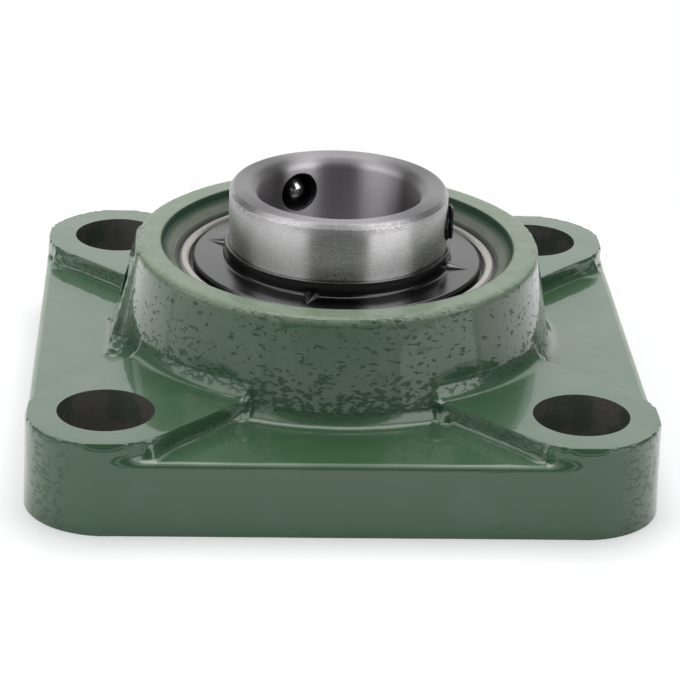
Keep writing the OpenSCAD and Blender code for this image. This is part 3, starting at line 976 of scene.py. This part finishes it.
def make_inner_ring(size, look):
    """Builds the inner ring, with its rounded ends, ball groove and tapped holes."""
    outer, low, high = INNER_HIGH.x, INNER_LOW.z, INNER_HIGH.z
    below = rounded([(BORE_RADIUS, low, 0.5 * MM), (outer, low, 0.45 * MM), (outer, high, 0)])[:-1]
    above = rounded([
        (outer, low, 0), (outer, high - size.end_chamfer, 0.35 * MM),
        (outer - size.end_chamfer * 0.8, high, 0.4 * MM),
        (BORE_RADIUS, high, size.bore_round), (BORE_RADIUS, low, 0),
    ], 8)[1:-1]
    ring = lathe("inner_ring_ground", below + ball_groove(size, outer, True) + above, 192)
    root = size.screw_radius + 0.04 * MM + size.tap_depth
    for turn in screw_angles(size):
        tap = thread("tap", root, size.tap_depth, size.screw_pitch, BORE_RADIUS - 1.5 * MM, outer + 1.5 * MM)
        cut(ring, place(tap, radial(size, turn)))
    smooth(ring, 30)
    steel = ground_steel("ground_steel", look.ground_steel, look.end_shade)
    dress(ring, "insert_inner", "ring_steel", steel, "inner_ring")
    # The tapped holes' walls get the near-black material, as painted shade.
    ring.data.materials.append(tapped_steel(look))
    axes = [Matrix.Rotation(turn, 3, "Z") @ Vector((1, 0, 0)) for turn in screw_angles(size)]
    centre = Vector((0, 0, high - size.screw_drop))
    for face in ring.data.polygons:
        arm = face.center - centre
        for axis in axes:
            inside = arm.dot(axis) > 0 and arm.cross(axis).length < root + 0.02 * MM
            if inside and abs(face.normal.dot(axis)) < 0.85:
                face.material_index = 1


def make_outer_ring(size, look):
    """Builds the outer ring, with its spherical outside, ball groove and seal grooves."""
    sphere, half = OUTER_HIGH.x, (OUTER_HIGH.z - OUTER_LOW.z) / 2
    edge = math.degrees(math.asin((half - 0.35 * MM) / sphere))
    seal_root = size.recess_radius + 0.4 * MM

    def side(sign):
        steps = [
            (seal_root, size.seal_drop + size.seal_sheet + 0.04 * MM),
            (size.recess_radius, size.seal_drop + size.seal_sheet + 0.04 * MM),
            (size.recess_radius, half - 0.3 * MM),
            (size.recess_radius + 0.3 * MM, half),
            (math.sqrt(sphere**2 - half**2) - 0.3 * MM, half),
        ]
        wall = [(size.land_radius, size.seal_drop), (seal_root, size.seal_drop)] + steps
        return [Vector((r, SEAT_HEIGHT + sign * z)) for r, z in wall]

    outline = ball_groove(size, size.land_radius, False) + side(1)
    outline += arc(0, SEAT_HEIGHT, sphere, edge, -edge, 24) + side(-1)[::-1]
    ring = smooth(lathe("outer_ring_ground", outline, 192), 30)
    material = ground_steel("face_steel", look.face_steel)
    return dress(ring, "insert_outer", "ring_steel", material, "outer_ring")


def slinger_rib(size, radius, top):
    """One pressed rib: widest and highest at the collar, it runs out to a point."""
    bpy.ops.object.select_all(action="DESELECT")
    half = size.rib_width / 2
    bpy.ops.mesh.primitive_cone_add(
        vertices=24, radius1=half, radius2=0.02 * MM, depth=size.rib_length, end_fill_type="NGON"
    )
    rib = place(named("slinger_rib"), turned(math.pi / 2, "Y"))
    flattened = Matrix.Diagonal((1, 1, size.rib_height / half, 1))
    return place(rib, Matrix.Translation((radius + size.rib_length / 2, 0, top - 0.02 * MM)) @ flattened)


def make_slingers(size, look):
    """Builds the two slingers: disc, turned down rim, collar and pressed ribs."""
    collar, top, sheet = INNER_HIGH.x + 0.02 * MM, SLINGER_HIGH.z - size.collar, size.sheet
    rim = SLINGER_HIGH.x
    outline = rounded([
        (collar, top - sheet, 0.15 * MM), (rim - sheet, top - sheet, 0.15 * MM),
        (rim - sheet, top - size.rim_drop, 0.1 * MM), (rim, top - size.rim_drop, 0.1 * MM),
        (rim, top, 0.45 * MM), (collar + sheet, top, 0.5 * MM),
        (collar + sheet, top + size.collar, 0.2 * MM), (collar, top + size.collar, 0.1 * MM),
    ])
    upper = lathe("slinger_upper_sheet", outline, 192)
    for k in range(4):
        rib = slinger_rib(size, collar + sheet / 2, top)
        cut(upper, place(rib, turned(size.rib_turn + TURN * k / 4)), "UNION")
    lower = close_mesh(place(copy_of(upper, "slinger_lower_sheet"), mirrored(SEAT_HEIGHT)))
    material = dark_sheet(look)
    dress(smooth(upper, 30), "insert_inner", "slinger_steel", material, "slinger_upper")
    dress(smooth(lower, 30), "insert_inner", "slinger_steel", material, "slinger_lower")


def make_screws(size, look):
    """Builds the two set screws: thread, hexagon socket and round nose."""
    material = black_steel(look)
    start = BORE_RADIUS + 0.15 * MM
    end = start + size.screw_length
    outer = size.screw_radius - 0.05 * MM
    nose, bevel, depth = 0.6 * outer, 0.5 * MM, 0.45 * MM
    envelope = arc(0, start + nose, nose, -90, -45, 6)
    flank = envelope[-1].y + outer - envelope[-1].x
    steps = ((outer, flank), (outer, end - bevel), (outer - bevel, end), (0, end))
    envelope += [Vector(step) for step in steps]
    socket_radius = size.socket_width / 2 / math.cos(math.pi / 6)
    for body, turn in zip("ab", screw_angles(size)):
        name = f"set_screw_{body}_steel"
        screw = thread(name, outer, depth, size.screw_pitch, start - 1 * MM, end + 1 * MM)
        cut(screw, lathe("screw_envelope", envelope, 64), "INTERSECT")
        cut(screw, cylinder("socket", socket_radius, end - size.socket_depth, end + 1 * MM, 6))
        place(screw, radial(size, turn))
        dress(smooth(screw, 30), f"screw_{body}", "screw_steel", material, f"set_screw_{body}")


def finish_inner_nodes(look):
    """Gives the pieces inside the insert their materials."""
    plate = polished("seal_sheet", look.seal_sheet, 0.35)
    cage = polished("cage_sheet", look.cage_sheet, 0.3)
    ball = polished("ball_steel", look.ball_steel, 0.06)
    lip = rubber(look)
    for name, node in frame["nodes"].items():
        for start, material in (("seal_plate", plate), ("seal_lip", lip), ("cage", cage), ("ball", ball)):
            if name.startswith(start):
                node.data.materials.clear()
                node.data.materials.append(material)


# The studio

# Each card's name, brightness, middle, width, lower edge and upper edge, in degrees
CARDS = (
    ("front_low_card", 0.02, 1, 62, -60, -10),
    ("front_strip_card", 1.25, 1, 62, -10, -2.5),
    ("front_high_card", 0.02, 1, 62, -2.5, 76),
    ("right_light_card", 3.0, 58, 46, 10, 60),
    ("right_low_card", 1.9, 58, 46, -60, -4),
    ("right_gap_card", 0.1, 58, 46, -4, 10),
    ("right_floor_card", 1.35, 111, 58, -60, -6),
    ("right_dark_card", 0.1, 111, 58, -6, 60),
    ("left_light_card", 2.1, -66, 60, 10, 60),
    ("left_low_card", 1.3, -66, 60, -60, -4),
    ("left_gap_card", 0.1, -66, 60, -4, 10),
    ("left_floor_card", 1.4, -118, 42, -60, -6),
    ("left_dark_card", 0.15, -118, 42, -6, 60),
    ("back_card", 1.2, 180, 70, 8, 60),
)


def glow(name, level):
    """A plain grey card."""
    shader = Shader(name)
    light = shader.node("ShaderNodeEmission", {}, (level, level, level, 1), 1.0)
    shader.node("ShaderNodeOutputMaterial", {}, Surface=light)
    return shader.material


def make_floor(studio):
    """A pale square floor, white to the camera apart from the part's soft shadow."""
    bpy.ops.object.select_all(action="DESELECT")
    bpy.ops.mesh.primitive_plane_add(size=2 * studio.floor_half, location=(0, 0, 0))
    floor = named("floor")
    shader = Shader("floor_white")
    x, y = shader.split(shader.place())[:2]
    reach = x.math("ABSOLUTE").math("MAXIMUM", y.math("ABSOLUTE"))
    uncovered = shader.ramp((x * x + y * y).math("SQRT"), 28 * MM, 30 * MM)
    fade = shader.ramp(reach, HOUSING_HIGH.x + 6 * MM, studio.floor_half)
    diffuse = shader.node("ShaderNodeBsdfDiffuse", {}, (0.8, 0.8, 0.8, 1))
    lift = shader.node("ShaderNodeEmission", {}, (1, 1, 1.03, 1), 1.0)
    share = shader.seen() * uncovered * (0.29 + fade * 0.33)
    lifted = shader.node("ShaderNodeMixShader", {}, share, None, lift)
    both = shader.node("ShaderNodeAddShader", {}, diffuse, lifted)
    shader.node("ShaderNodeOutputMaterial", {}, Surface=both)
    floor.data.materials.append(shader.material)
    place(floor, Matrix.Translation((0, 0, -0.02 * MM)))


def make_card(studio, name, centre, width, low, high, level):
    """A curved card that shows only in reflections, between two heights over the horizon."""
    bpy.ops.object.select_all(action="DESELECT")
    bpy.ops.mesh.primitive_uv_sphere_add(segments=180, ring_count=90, radius=studio.card_radius)
    card = named(name)
    middle = studio.yaw - math.pi / 2 + centre
    select_only(card)
    bpy.ops.object.mode_set(mode="EDIT")
    bpy.ops.mesh.select_mode(type="VERT")
    bpy.ops.mesh.select_all(action="DESELECT")
    bpy.ops.object.mode_set(mode="OBJECT")
    for vertex in card.data.vertices:
        side = vertex.co.xy.angle_signed(Vector((math.cos(middle), math.sin(middle))), 0)
        height = math.asin(max(-1, min(1, vertex.co.z / studio.card_radius)))
        vertex.select = abs(side) > width / 2 or not low <= height <= high
    bpy.ops.object.mode_set(mode="EDIT")
    bpy.ops.mesh.delete(type="VERT")
    bpy.ops.object.mode_set(mode="OBJECT")
    card.data.materials.append(glow(name, level))
    card.visible_camera = False
    card.visible_diffuse = False
    card.visible_shadow = False


def make_lights():
    """A large soft light over the part and a weaker one from the left front."""
    for name, spot, width, watts in (
        ("top_light", (0.05, 0.25, 0.9), 0.7, 5.2),
        ("left_light", (-0.7, -0.45, 0.55), 0.5, 1.4),
    ):
        lamp = bpy.data.lights.new(name, "AREA")
        lamp.size = width
        lamp.energy = watts
        lamp_object = bpy.data.objects.new(name, lamp)
        bpy.context.scene.collection.objects.link(lamp_object)
        lamp_object.location = spot
        lamp_object.rotation_euler = (-Vector(spot)).to_track_quat("-Z", "Y").to_euler()


def make_world(studio):
    """Light from all round, white to the camera and in reflections."""
    world = bpy.data.worlds.new("studio")
    bpy.context.scene.world = world
    shader = Shader("studio", world)
    ambient = shader.node("ShaderNodeBackground", {}, (1, 1, 1, 1), studio.ambient)
    white = shader.node("ShaderNodeBackground", {}, (1, 1, 1, 1), 1.0)
    mixed = shader.node("ShaderNodeMixShader", {}, shader.seen(), ambient, white)
    shader.node("ShaderNodeOutputWorld", {}, Surface=mixed)


def make_camera(studio):
    """The camera at the photograph's viewing angle."""
    data = bpy.data.cameras.new("camera")
    data.lens = studio.focal
    data.sensor_width = 36
    data.clip_start = 0.01
    camera = bpy.data.objects.new("camera", data)
    bpy.context.scene.collection.objects.link(camera)
    yaw, elevation = studio.yaw, studio.elevation
    level = math.cos(elevation)
    back = Vector((math.sin(yaw) * level, -math.cos(yaw) * level, math.sin(elevation)))
    aim = (-back).to_track_quat("-Z", "Y").to_matrix().to_4x4()
    spot = Matrix.Translation(Vector(studio.aim) + back * studio.distance)
    camera.matrix_world = spot @ aim @ turned(studio.roll)
    bpy.context.scene.camera = camera
    bpy.context.scene.view_settings.view_transform = "Standard"


# Operators


class BEARING_OT_casting(bpy.types.Operator):
    """Make the painted casting"""

    bl_idname = "bearing.casting"
    bl_label = "Casting"

    def execute(self, context):
        make_casting(context.scene.casting, context.scene.finish)
        return {"FINISHED"}


class BEARING_OT_rings(bpy.types.Operator):
    """Make the ground inner and outer rings"""

    bl_idname = "bearing.rings"
    bl_label = "Rings"

    def execute(self, context):
        make_inner_ring(context.scene.insert, context.scene.finish)
        make_outer_ring(context.scene.insert, context.scene.finish)
        return {"FINISHED"}


class BEARING_OT_slingers(bpy.types.Operator):
    """Make the two slingers"""

    bl_idname = "bearing.slingers"
    bl_label = "Slingers"

    def execute(self, context):
        make_slingers(context.scene.insert, context.scene.finish)
        return {"FINISHED"}


class BEARING_OT_set_screws(bpy.types.Operator):
    """Make the two set screws"""

    bl_idname = "bearing.set_screws"
    bl_label = "Set screws"

    def execute(self, context):
        make_screws(context.scene.insert, context.scene.finish)
        return {"FINISHED"}


class BEARING_OT_inner_nodes(bpy.types.Operator):
    """Give the balls, cages and seals their materials"""

    bl_idname = "bearing.inner_nodes"
    bl_label = "Balls, cages and seals"

    def execute(self, context):
        finish_inner_nodes(context.scene.finish)
        return {"FINISHED"}


class BEARING_OT_stage(bpy.types.Operator):
    """Make the floor, the cards, the light and the camera"""

    bl_idname = "bearing.stage"
    bl_label = "Stage"

    def execute(self, context):
        studio = context.scene.studio
        make_floor(studio)
        for name, level, *angles in CARDS:
            make_card(studio, name, *(math.radians(angle) for angle in angles), level)
        make_lights()
        make_world(studio)
        make_camera(studio)
        return {"FINISHED"}


OPERATORS = (
    BEARING_OT_stage,
    BEARING_OT_casting,
    BEARING_OT_rings,
    BEARING_OT_slingers,
    BEARING_OT_set_screws,
    BEARING_OT_inner_nodes,
)


class BEARING_PT_panel(bpy.types.Panel):
    """Lists the pieces of the flange bearing"""

    bl_idname = "BEARING_PT_panel"
    bl_label = "Flange Bearing"
    bl_space_type = "VIEW_3D"
    bl_region_type = "UI"
    bl_category = "Bearing"

    def draw(self, context):
        for operator in OPERATORS:
            self.layout.operator(operator.bl_idname)


def register():
    for cls in (*SETTINGS.values(), *OPERATORS, BEARING_PT_panel):
        bpy.utils.register_class(cls)
    for name, cls in SETTINGS.items():
        setattr(bpy.types.Scene, name, PointerProperty(type=cls))


def unregister():
    for name in SETTINGS:
        delattr(bpy.types.Scene, name)
    for cls in reversed((*SETTINGS.values(), *OPERATORS, BEARING_PT_panel)):
        bpy.utils.unregister_class(cls)


def main():
    """Makes everything."""
    register()
    for operator in OPERATORS:
        group, name = operator.bl_idname.split(".")
        getattr(getattr(bpy.ops, group), name)()


if __name__ == "__main__":
    main()
